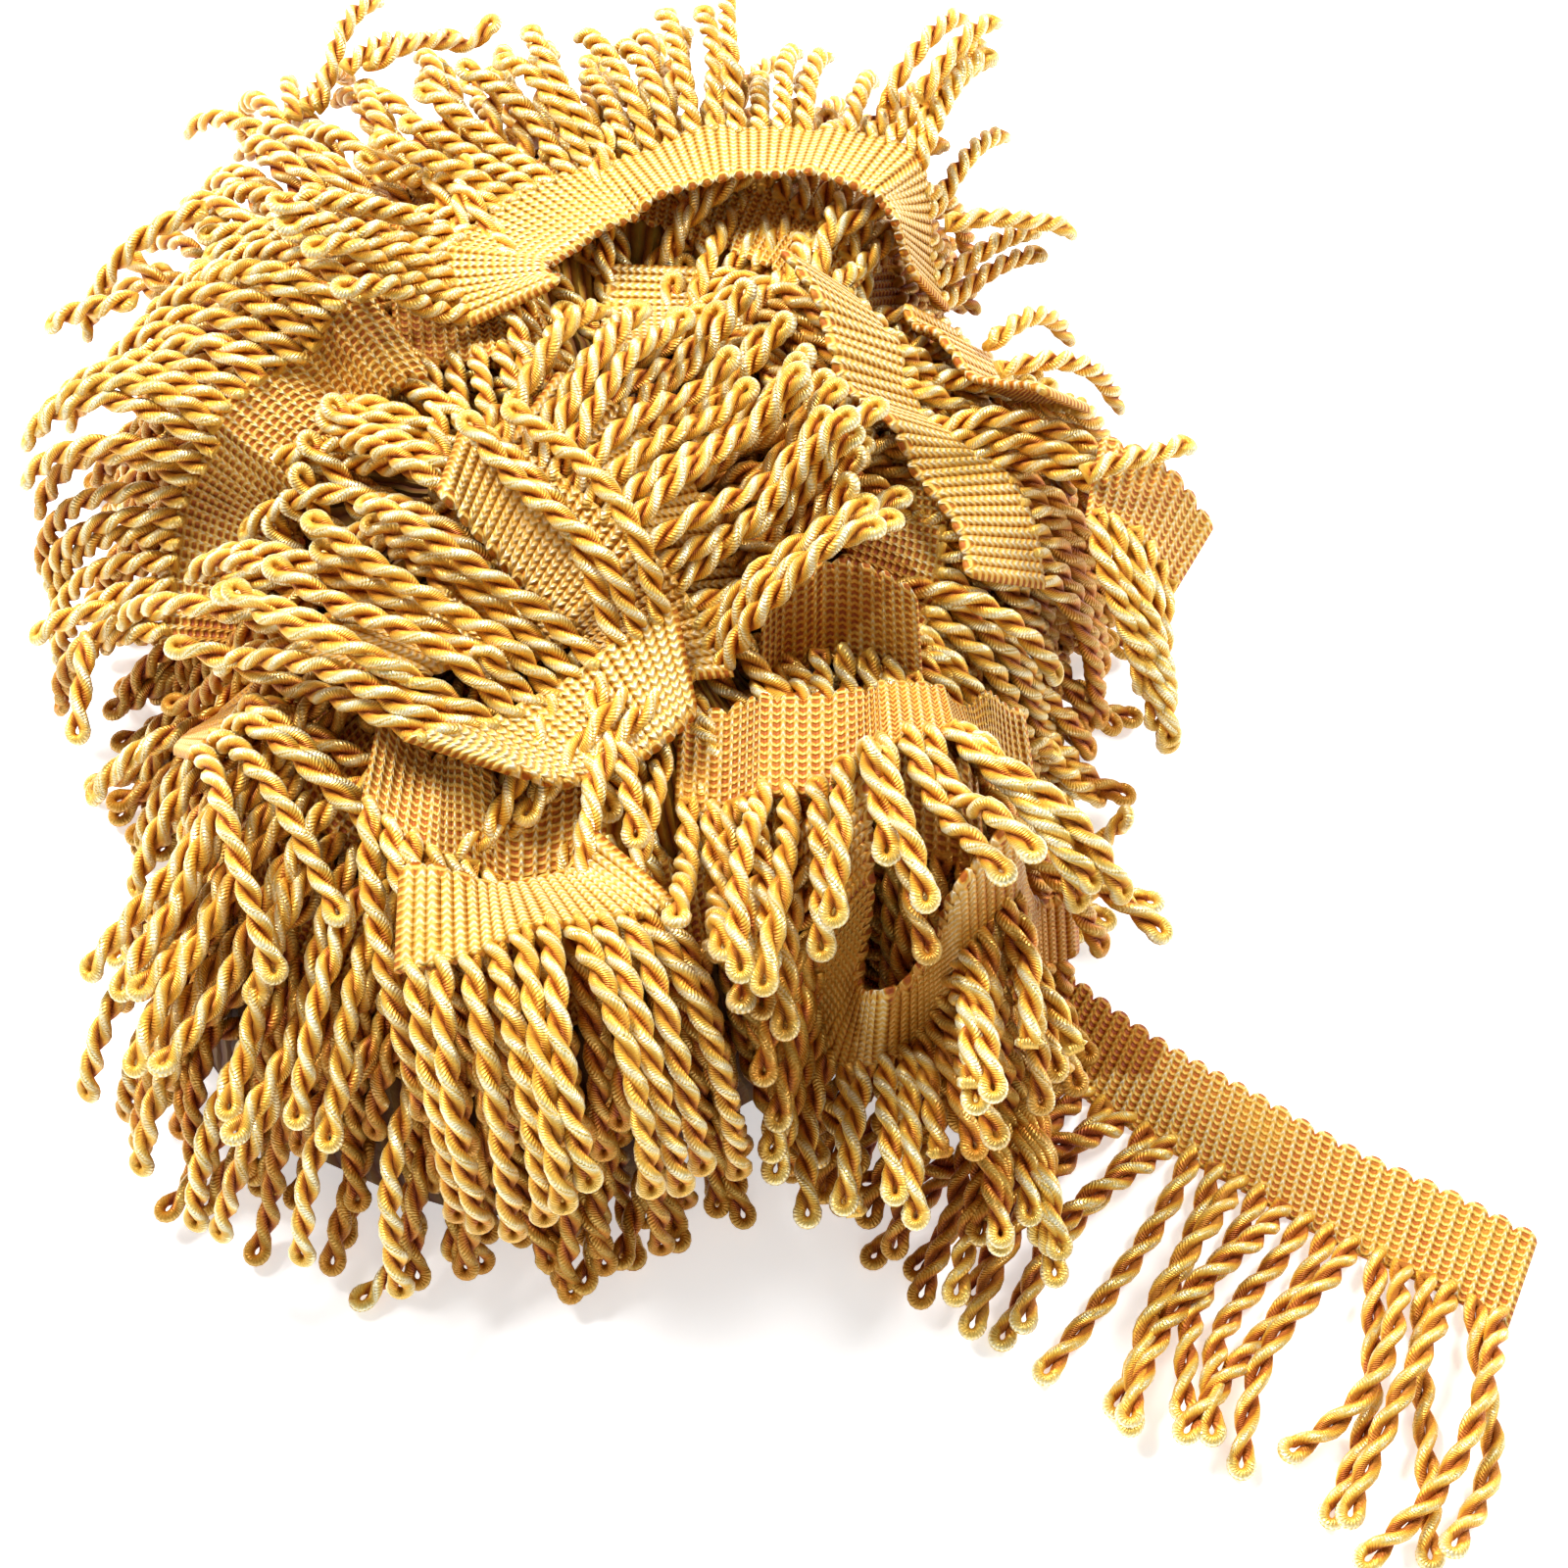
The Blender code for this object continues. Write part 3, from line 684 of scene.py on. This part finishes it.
def makeTurn(pile, name, rows, cloths):
    # The heading and the ropes of a turn, both laid on the pile and then entered in it
    chance = chanceOf(name)
    edges, roots, normal, rib, fall, tilt = layHeading(pile, rows)
    gone = lengthsAlong(roots)
    tail = name == "loose_tail"
    pitch = heading["tailPitch" if tail else "scallopPitch"]
    scallops = max(int(round(gone[-1] / pitch)), heading["fewestScallops"])
    piece = makeHeading(name + "_heading", edges, roots, normal, scallops)
    own = Pile()
    lay = rope["layLengths"].get(name, rope["layLength"])
    length = rope["shorter"].get(name, rope["length"])
    lines = []
    for i in range(scallops):
        at = (i + 0.5) / scallops * gone[-1]
        root, edge = readAt(at, gone, roots), readAt(at, gone, edges)
        start = root + (edge - root) * rope["rootShare"]
        ribHere, fallHere, dip = (np.interp(at, gone, values) for values in (rib, fall, tilt))
        fallHere += chance.normal(0, lie["tailJitter"] if tail else lie["wayJitter"])
        long = length + chance.normal(0, lie["lengthJitter"])
        sway = chance.normal(0, lie["tailSway"] if tail else lie["sway"])
        path = layRope(pile, own, start, ribHere, fallHere, dip, long, sway)
        markRope(own, path, fallHere)
        lines.append(plyPaths(path, fallHere, 1 if tail else -1, lay, chance))
    markHeading(pile, edges, roots, normal)
    pile.height = np.maximum(pile.height, own.height)
    ropes = makeRopes(name + "_ropes", lines, chance)
    for made in (piece, ropes):
        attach(made, "root")
    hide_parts(name)
    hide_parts(name)
    cloths.append((piece, ropes, max(gone[-1], lengthsAlong(edges)[-1])))
    print("laid", name, scallops, "ropes")


# What lies this far below the top of the heap beside it loses light, and the deepest is darkest
depth = {"reach": 2.0, "lit": 4.0, "fades": 14.0}


def paintDepthShade(pile, made):
    # How deep each point lies below the top of the heap beside it, from 0 to 1: the materials darken by it as
    # painted shade
    place = np.zeros(len(made.data.vertices) * 3, np.float32)
    made.data.vertices.foreach_get("co", place)
    x, y, z = place.reshape(-1, 3).T / mm
    below = pile.spread(depth["reach"])[pile.cells(x, y)] - z
    held = made.data.attributes.new("deep", "FLOAT", "POINT")
    shade = np.clip((below - depth["lit"]) / depth["fades"], 0, 1)
    held.data.foreach_set("value", shade.astype(np.float32))


def coreOutline():
    angles = sorted(coreFoot)
    return np.array(angles, float), np.array([coreFoot[angle] for angle in angles], float)


# Ropes of the inner turns, half sunk into the core, in rings that start between two shares of the core's foot
Ring = namedtuple("Ring", "near far length ropes")
buried = {
    "rings": (
        Ring(0.15, 0.45, 38, 70),
        Ring(0.45, 0.68, 38, 70),
        Ring(0.68, 0.82, 38, 80),
        Ring(0.86, 0.94, 34, 100),
        Ring(0.94, 0.98, 22, 120),
    ),
    "sunk": 1.6,
    "feel": 1.0,
    "wayJitter": 24.0,
    "lengthJitter": 3.0,
    "sway": 12.0,
}


def makeBuried(corePile):
    # Ropes of the inner turns show wherever the turns on top leave the core bare
    ground = Pile()
    ground.height = np.maximum(corePile.height - buried["sunk"], 0)
    ground.height[corePile.height == 0] = 0
    angles, radii = coreOutline()
    for part, ring in enumerate(buried["rings"]):
        name = "buried_ropes_%d" % (part + 1)
        chance = chanceOf(name)
        lines = []
        own = Pile()
        for i in range(ring.ropes):
            angle = (i + chance.random()) / ring.ropes * 360
            reach = np.interp(angle, angles, radii) * (ring.near + (ring.far - ring.near) * chance.random())
            way = wayOf(angle)
            x, y = coreMiddle[0] + reach * way[0], coreMiddle[1] + reach * way[1]
            height = ground.top(np.array([x]), np.array([y]), buried["feel"])[0] + rope["thick"] / 2
            start = np.array([x, y, height])
            fall = angle + chance.normal(0, buried["wayJitter"])
            long = ring.length + chance.normal(0, buried["lengthJitter"])
            path = layRope(ground, own, start, fall, fall, 0, long, chance.normal(0, buried["sway"]))
            markRope(own, path, fall)
            lines.append(plyPaths(path, fall, -1, rope["layLength"], chance))
        ropes = makeRopes(name, lines, chance)
        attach(ropes, "root")
        yield ropes


def makeStrays(pile, name, strays, hand):
    # Ropes that stick out of the heap on their own
    chance = chanceOf(name)
    lines = []
    own = Pile()
    for stray in strays:
        x, y = np.array([stray.x]), np.array([stray.y])
        start = np.array([stray.x, stray.y, pile.top(x, y, lie["strayFeel"])[0] + rope["thick"] / 2])
        sway = chance.normal(0, lie["sway"])
        path = layRope(pile, own, start, stray.way, stray.way, lie["strayDip"], stray.length, sway)
        markRope(own, path, stray.way)
        lines.append(plyPaths(path, stray.way, hand, rope["layLength"], chance))
    pile.height = np.maximum(pile.height, own.height)
    ropes = makeRopes(name, lines, chance)
    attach(ropes, "root")
    return ropes


def skirtRows(skirt):
    # Rows that follow the core's foot
    angles, radii = coreOutline()
    rows = []
    count = max(int(round((skirt.end - skirt.start) / skirtStep)) + 1, fewestSkirtRows)
    for angle in np.linspace(skirt.start, skirt.end, count):
        around = angle % 360
        low = min(int(np.searchsorted(angles, around, side="right")) - 1, len(angles) - 2)
        share = (around - angles[low]) / (angles[low + 1] - angles[low])
        blend = (1 - math.cos(share * math.pi)) / 2
        reach = (radii[low] * (1 - blend) + radii[low + 1] * blend) * skirt.place
        way = wayOf(angle)
        x, y = coreMiddle[0] + reach * way[0], coreMiddle[1] + reach * way[1]
        rows.append(Row(x, y, angle, 0, angle + skirt.swing))
    return rows


# The sockets of a Mix node that carry colours
mixInputs, mixOutput = (6, 7), 2


# Shader maths: a socket that takes part in Python expressions
class Socket:
    def __init__(self, tree, output):
        self.tree = tree
        self.output = output

    def node(self, kind, settings=None, **values):
        made = self.tree.nodes.new(kind)
        for key, value in (settings or {}).items():
            if key == "stops":
                ramp = made.color_ramp
                while len(ramp.elements) < len(value):
                    ramp.elements.new(0.5)
                for element, (spot, colour) in zip(ramp.elements, value):
                    element.position = spot
                    element.color = (*colour, 1.0)
            else:
                setattr(made, key, value)
        for key, value in values.items():
            numbered = key[0] == "n" and key[1:].isdigit()
            socket = made.inputs[int(key[1:]) if numbered else key.replace("_", " ")]
            if isinstance(value, Socket):
                self.tree.links.new(value.output, socket)
            else:
                socket.default_value = value
        return made

    def maths(self, operation, other=None, swapped=False):
        pair = [self, other] if not swapped else [other, self]
        values = {"n%d" % i: value for i, value in enumerate(pair) if value is not None}
        return Socket(self.tree, self.node("ShaderNodeMath", {"operation": operation}, **values).outputs[0])

    def __add__(self, other):
        return self.maths("ADD", other)

    def __radd__(self, other):
        return self.maths("ADD", other, swapped=True)

    def __sub__(self, other):
        return self.maths("SUBTRACT", other)

    def __rsub__(self, other):
        return self.maths("SUBTRACT", other, swapped=True)

    def __mul__(self, other):
        return self.maths("MULTIPLY", other)

    def __truediv__(self, other):
        return self.maths("DIVIDE", other)

    def __abs__(self):
        return self.maths("ABSOLUTE")

    def between(self, low, high):
        smooth = {"interpolation_type": "SMOOTHSTEP"}
        made = self.node("ShaderNodeMapRange", smooth, Value=self, From_Min=low, From_Max=high)
        return Socket(self.tree, made.outputs["Result"])

    def ramp(self, stops):
        # Each stop is a place and the name of a colour in gold
        stops = [(spot, gold[name]) for spot, name in stops]
        return Socket(self.tree, self.node("ShaderNodeValToRGB", {"stops": stops}, Fac=self).outputs["Color"])

    def mixed(self, colour, share, blend="MIX"):
        made = self.node("ShaderNodeMix", {"data_type": "RGBA", "blend_type": blend}, Factor=share)
        for place, value in zip(mixInputs, (self, colour)):
            if isinstance(value, Socket):
                self.tree.links.new(value.output, made.inputs[place])
            else:
                made.inputs[place].default_value = (*value, 1.0)
        return Socket(self.tree, made.outputs[mixOutput])


def newMaterial(name):
    # The material, its shader and a tool that makes nodes in its tree
    material = bpy.data.materials.new(name)
    material.use_nodes = True
    tree = material.node_tree
    return material, tree.nodes["Principled BSDF"], Socket(tree, None)


def noiseOn(tool, vector, scale, detail=2.0):
    made = tool.node("ShaderNodeTexNoise", Scale=scale, Detail=detail)
    tool.tree.links.new(vector, made.inputs["Vector"])
    return Socket(tool.tree, made.outputs["Fac"])


def attributeOf(tool, label):
    return Socket(tool.tree, tool.node("ShaderNodeAttribute", {"attribute_name": label}).outputs["Fac"])


def applyLook(shader, tool, colour, relief, look):
    links = tool.tree.links
    links.new(colour.output, shader.inputs["Base Color"])
    bump = tool.node("ShaderNodeBump", Strength=look["bump"], Distance=look["bumpDepth"], Height=relief)
    links.new(bump.outputs["Normal"], shader.inputs["Normal"])
    shader.inputs["Metallic"].default_value = look["metallic"]
    shader.inputs["Specular IOR Level"].default_value = look["specular"]


# Colours of the satin, from the painted shade in the slit between two plies to the painted highlight on a
# crest. inner tints others as painted shade where they lie deep in the heap, and knit tints the heading.
gold = {
    "inner": (0.64, 0.42, 0.12),
    "knit": (0.86, 0.79, 0.84),
    "shadow": (0.07, 0.018, 0.002),
    "paintedSlitShade": (0.45, 0.11, 0.002),
    "deep": (0.78, 0.32, 0.012),
    "orange": (0.90, 0.52, 0.05),
    "mid": (0.85, 0.61, 0.16),
    "pale": (0.93, 0.80, 0.40),
    "paintedGlint": (1.0, 0.98, 0.74),
    "olive": (0.60, 0.44, 0.09),
}
# The ropes' plies are wound from fine threads; their colour carries a painted highlight beside each crest and
# painted shade, orange to dark, in the slits between plies
ropeLook = {
    "stops": (
        (0.0, "olive"), (0.06, "mid"), (0.10, "paintedGlint"), (0.15, "pale"),
        (0.22, "mid"), (0.40, "orange"), (0.55, "deep"), (0.67, "paintedSlitShade"),
    ),
    "unevenScale": 700.0,
    "unevenDetail": 3.0,
    "patchScale": 60.0,
    "threadPitch": 0.42,
    "threadSlant": 3.0,
    "threadUneven": 1.2,
    "shadeUneven": 0.08,
    "shadeThread": 0.06,
    "orangeRopes": (0.35, 1.0),
    "orangeShare": 0.28,
    "olivePatches": (0.5, 0.8),
    "oliveShare": 0.22,
    "rough": 0.30,
    "roughInward": 0.3,
    "roughThread": 0.08,
    "bump": 0.6,
    "bumpDepth": 0.0002,
    "metallic": 0.5,
    "specular": 0.7,
}


def ropeMaterial():
    material, shader, tool = newMaterial("twisted gold rope")
    look = ropeLook
    inward, along, ropeShade = (attributeOf(tool, label) for label in ("inward", "along", "ropeShade"))
    place = tool.node("ShaderNodeTexCoord").outputs["Object"]
    uneven = noiseOn(tool, place, look["unevenScale"], look["unevenDetail"])
    patches = noiseOn(tool, place, look["patchScale"])
    wound = along / look["threadPitch"] + inward * look["threadSlant"] + uneven * look["threadUneven"]
    thread = abs(wound.maths("FRACT") - 0.5) * 2
    shade = inward + (uneven - 0.5) * look["shadeUneven"] + (thread - 0.5) * look["shadeThread"]
    # Painted light and shade: by inward, the ramp paints highlight lines beside the crest and shade down into
    # the slit
    colour = shade.ramp(look["stops"])
    colour = colour.mixed(gold["orange"], ropeShade.between(*look["orangeRopes"]) * look["orangeShare"])
    colour = colour.mixed(gold["olive"], patches.between(*look["olivePatches"]) * look["oliveShare"])
    # Painted shade: what lies deep below the heap's top is darkened by the inner tint
    colour = colour.mixed(gold["inner"], attributeOf(tool, "deep"), "MULTIPLY")
    rough = look["rough"] + inward * look["roughInward"] + thread * look["roughThread"]
    tool.tree.links.new(rough.output, shader.inputs["Roughness"])
    applyLook(shader, tool, colour, 1 - thread, look)
    return material


# The heading's ribs are twisted cords, with the rungs of the knit between them; its colour is painted shade
# in the grooves and painted highlight on the cords
headingLook = {
    "stops": (
        (0.02, "paintedSlitShade"), (0.18, "deep"), (0.4, "orange"), (0.66, "mid"), (0.88, "pale"), (1.0, "paintedGlint"),
    ),
    "unevenScale": 600.0,
    "patchScale": 90.0,
    "ribsPerScallop": 2,
    "ribEdge": (0.15, 0.6),
    "rungs": 13.0,
    "rungEdge": (0.3, 0.8),
    "rungUneven": 0.4,
    "slant": 0.9,
    "cordBase": 0.45,
    "cordTwist": 0.55,
    "rungHeight": 0.55,
    "heightUneven": 0.2,
    "orangePatches": (0.4, 0.8),
    "orangeShare": 0.3,
    "rough": 0.6,
    "roughHeight": 0.2,
    "bump": 0.9,
    "bumpDepth": 0.0005,
    "metallic": 0.2,
    "specular": 0.4,
}


def headingMaterial():
    material, shader, tool = newMaterial("knitted gold heading")
    look, links = headingLook, tool.tree.links
    parts = tool.node("ShaderNodeSeparateXYZ")
    links.new(tool.node("ShaderNodeUVMap").outputs["UV"], parts.inputs[0])
    across, up = Socket(tool.tree, parts.outputs[0]), Socket(tool.tree, parts.outputs[1])
    place = tool.node("ShaderNodeTexCoord").outputs["Object"]
    uneven = noiseOn(tool, place, look["unevenScale"])
    patches = noiseOn(tool, place, look["patchScale"])
    ribSide = abs((across * look["ribsPerScallop"]).maths("FRACT") - 0.5) * 2
    cord = 1 - ribSide.between(*look["ribEdge"])
    wander = uneven * look["rungUneven"]
    twist = abs((up * look["rungs"] + ribSide * look["slant"] + wander).maths("FRACT") - 0.5) * 2
    rung = abs((up * look["rungs"] + 0.5 + wander).maths("FRACT") - 0.5) * 2
    height = cord * (look["cordBase"] + twist * look["cordTwist"])
    height += (1 - cord) * rung.between(*look["rungEdge"]) * look["rungHeight"]
    height += (uneven - 0.5) * look["heightUneven"]
    # Painted light and shade: the ramp darkens the grooves and brightens the cord tops as a highlight
    colour = height.ramp(look["stops"]).mixed(gold["knit"], 1.0, "MULTIPLY")
    colour = colour.mixed(gold["orange"], patches.between(*look["orangePatches"]) * look["orangeShare"])
    # Painted shade: what lies deep below the heap's top is darkened by the inner tint
    colour = colour.mixed(gold["inner"], attributeOf(tool, "deep"), "MULTIPLY")
    rough = look["rough"] - height * look["roughHeight"]
    links.new(rough.output, shader.inputs["Roughness"])
    applyLook(shader, tool, colour, height, look)
    return material


# The core shows only between ropes, as strands that run out from its middle, coloured dark as painted shade,
# with painted shadow where it lies deep
coreLook = {
    "stops": ((0.1, "paintedSlitShade"), (0.45, "deep"), (0.9, "orange")),
    "blotchScale": 160.0,
    "blotchDetail": 4.0,
    "strandsAround": 24.0,
    "strandsUp": 60.0,
    "strandUneven": 0.8,
    "ridge": 0.7,
    "ridgeUneven": 0.6,
    "shadow": 0.85,
    "rough": 0.8,
    "bump": 1.0,
    "bumpDepth": 0.002,
    "metallic": 0.0,
    "specular": 0.5,
}


def coreMaterial():
    material, shader, tool = newMaterial("inner turns in shade")
    look = coreLook
    place = tool.node("ShaderNodeTexCoord").outputs["Object"]
    blotches = noiseOn(tool, place, look["blotchScale"], look["blotchDetail"])
    parts = tool.node("ShaderNodeSeparateXYZ")
    tool.tree.links.new(place, parts.inputs[0])
    across, along, up = (Socket(tool.tree, output) for output in parts.outputs)
    around = along.maths("ARCTAN2", across) * look["strandsAround"] + up * look["strandsUp"]
    around += blotches * look["strandUneven"]
    strand = 1 - abs(around.maths("FRACT") - 0.5) * 2
    ridge = strand * (look["ridge"] + blotches * look["ridgeUneven"])
    # Painted shade on the core's strands, and painted shadow where it lies deep below the heap's top
    colour = ridge.ramp(look["stops"]).mixed(gold["shadow"], attributeOf(tool, "deep") * look["shadow"])
    shader.inputs["Roughness"].default_value = look["rough"]
    applyLook(shader, tool, colour, ridge, look)
    return material


def giveMaterial(made, material):
    made.data.materials.clear()
    made.data.materials.append(material)


# The camera stands where the photograph was taken from
view = {"target": (25.0, -12.0, 0.0), "distance": 430.0, "elevation": 60.0, "lens": 60.0, "sensor": 36.0}


def makeCamera():
    camera = bpy.data.cameras.new("camera")
    camera.lens = view["lens"]
    camera.sensor_width = view["sensor"]
    made = bpy.data.objects.new("camera", camera)
    bpy.context.scene.collection.objects.link(made)
    up = math.radians(view["elevation"])
    back = Vector((0, -math.cos(up), math.sin(up)))
    made.location = (Vector(view["target"]) + back * view["distance"]) * mm
    made.rotation_euler = (math.pi / 2 - up, 0, 0)
    bpy.context.scene.camera = made


# Lights look at the heap. Places and sizes are in metres, powers in watts.
Light = namedtuple("Light", "name place size power")
studio = {
    "lights": (
        Light("key", (-0.45, 0.35, 0.85), 0.35, 18.0),
        Light("right", (0.7, 0.35, 0.65), 0.3, 8.0),
        Light("front", (0.1, -0.9, 0.6), 0.3, 1.1),
    ),
    "sky": 0.28,
    "floorSize": 6.0,
    "floorGrey": 0.92,
    "floorRough": 0.9,
    "floorGlow": 0.50,
}


def makeLight(row):
    light = bpy.data.lights.new(row.name, "AREA")
    light.energy = row.power
    light.size = row.size
    made = bpy.data.objects.new(row.name, light)
    made.location = row.place
    made.rotation_euler = (-Vector(row.place)).to_track_quat("-Z", "Y").to_euler()
    bpy.context.scene.collection.objects.link(made)


def makeStudio():
    bpy.ops.mesh.primitive_plane_add(size=studio["floorSize"])
    floor = bpy.context.object
    floor.name = "floor"
    material, shader, _ = newMaterial("pale floor")
    shader.inputs["Base Color"].default_value = (*[studio["floorGrey"]] * 3, 1.0)
    shader.inputs["Roughness"].default_value = studio["floorRough"]
    shader.inputs["Emission Color"].default_value = (1, 1, 1, 1)
    shader.inputs["Emission Strength"].default_value = studio["floorGlow"]
    giveMaterial(floor, material)
    floor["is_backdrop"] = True
    world = bpy.data.worlds.new("studio")
    world.use_nodes = True
    sky = world.node_tree.nodes["Background"]
    sky.inputs["Color"].default_value = (1, 1, 1, 1)
    sky.inputs["Strength"].default_value = studio["sky"]
    bpy.context.scene.world = world
    for row in studio["lights"]:
        makeLight(row)
    bpy.context.scene.view_settings.view_transform = "Standard"


makeCamera()
makeStudio()
print("camera, floor and lights set")
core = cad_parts["wound_core"]
pile = Pile()
pile.addMesh(core)
buriedRopes = list(makeBuried(pile))
print("inner ropes laid")
cloths = []
makeTurn(pile, "loose_tail", tailRows, cloths)
tailRopes = makeStrays(pile, "tail_ropes", tailStrays, 1)
for skirt in skirts:
    makeTurn(pile, skirt.name, skirtRows(skirt), cloths)
for name, rows in turns.items():
    makeTurn(pile, name, rows, cloths)
strayRopes = makeStrays(pile, "stray_ropes", strays, -1)
print("all turns laid")
ropeGold, headingGold = ropeMaterial(), headingMaterial()
giveMaterial(core, coreMaterial())
paintDepthShade(pile, core)
for ropes in [*buriedRopes, tailRopes, strayRopes]:
    giveMaterial(ropes, ropeGold)
    paintDepthShade(pile, ropes)
for piece, ropes, length in cloths:
    giveMaterial(piece, headingGold)
    giveMaterial(ropes, ropeGold)
    paintDepthShade(pile, piece)
    paintDepthShade(pile, ropes)
print("materials given")
meshes = [item.data for item in bpy.data.objects if item.type == "MESH"]
print("triangles", sum(len(face.vertices) - 2 for mesh in meshes for face in mesh.polygons))
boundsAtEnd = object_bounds()
both = {"cad": boundsAtStart, "visual": boundsAtEnd}
{key: [list(corner) for corner in pair] for key, pair in both.items()}
print("done")
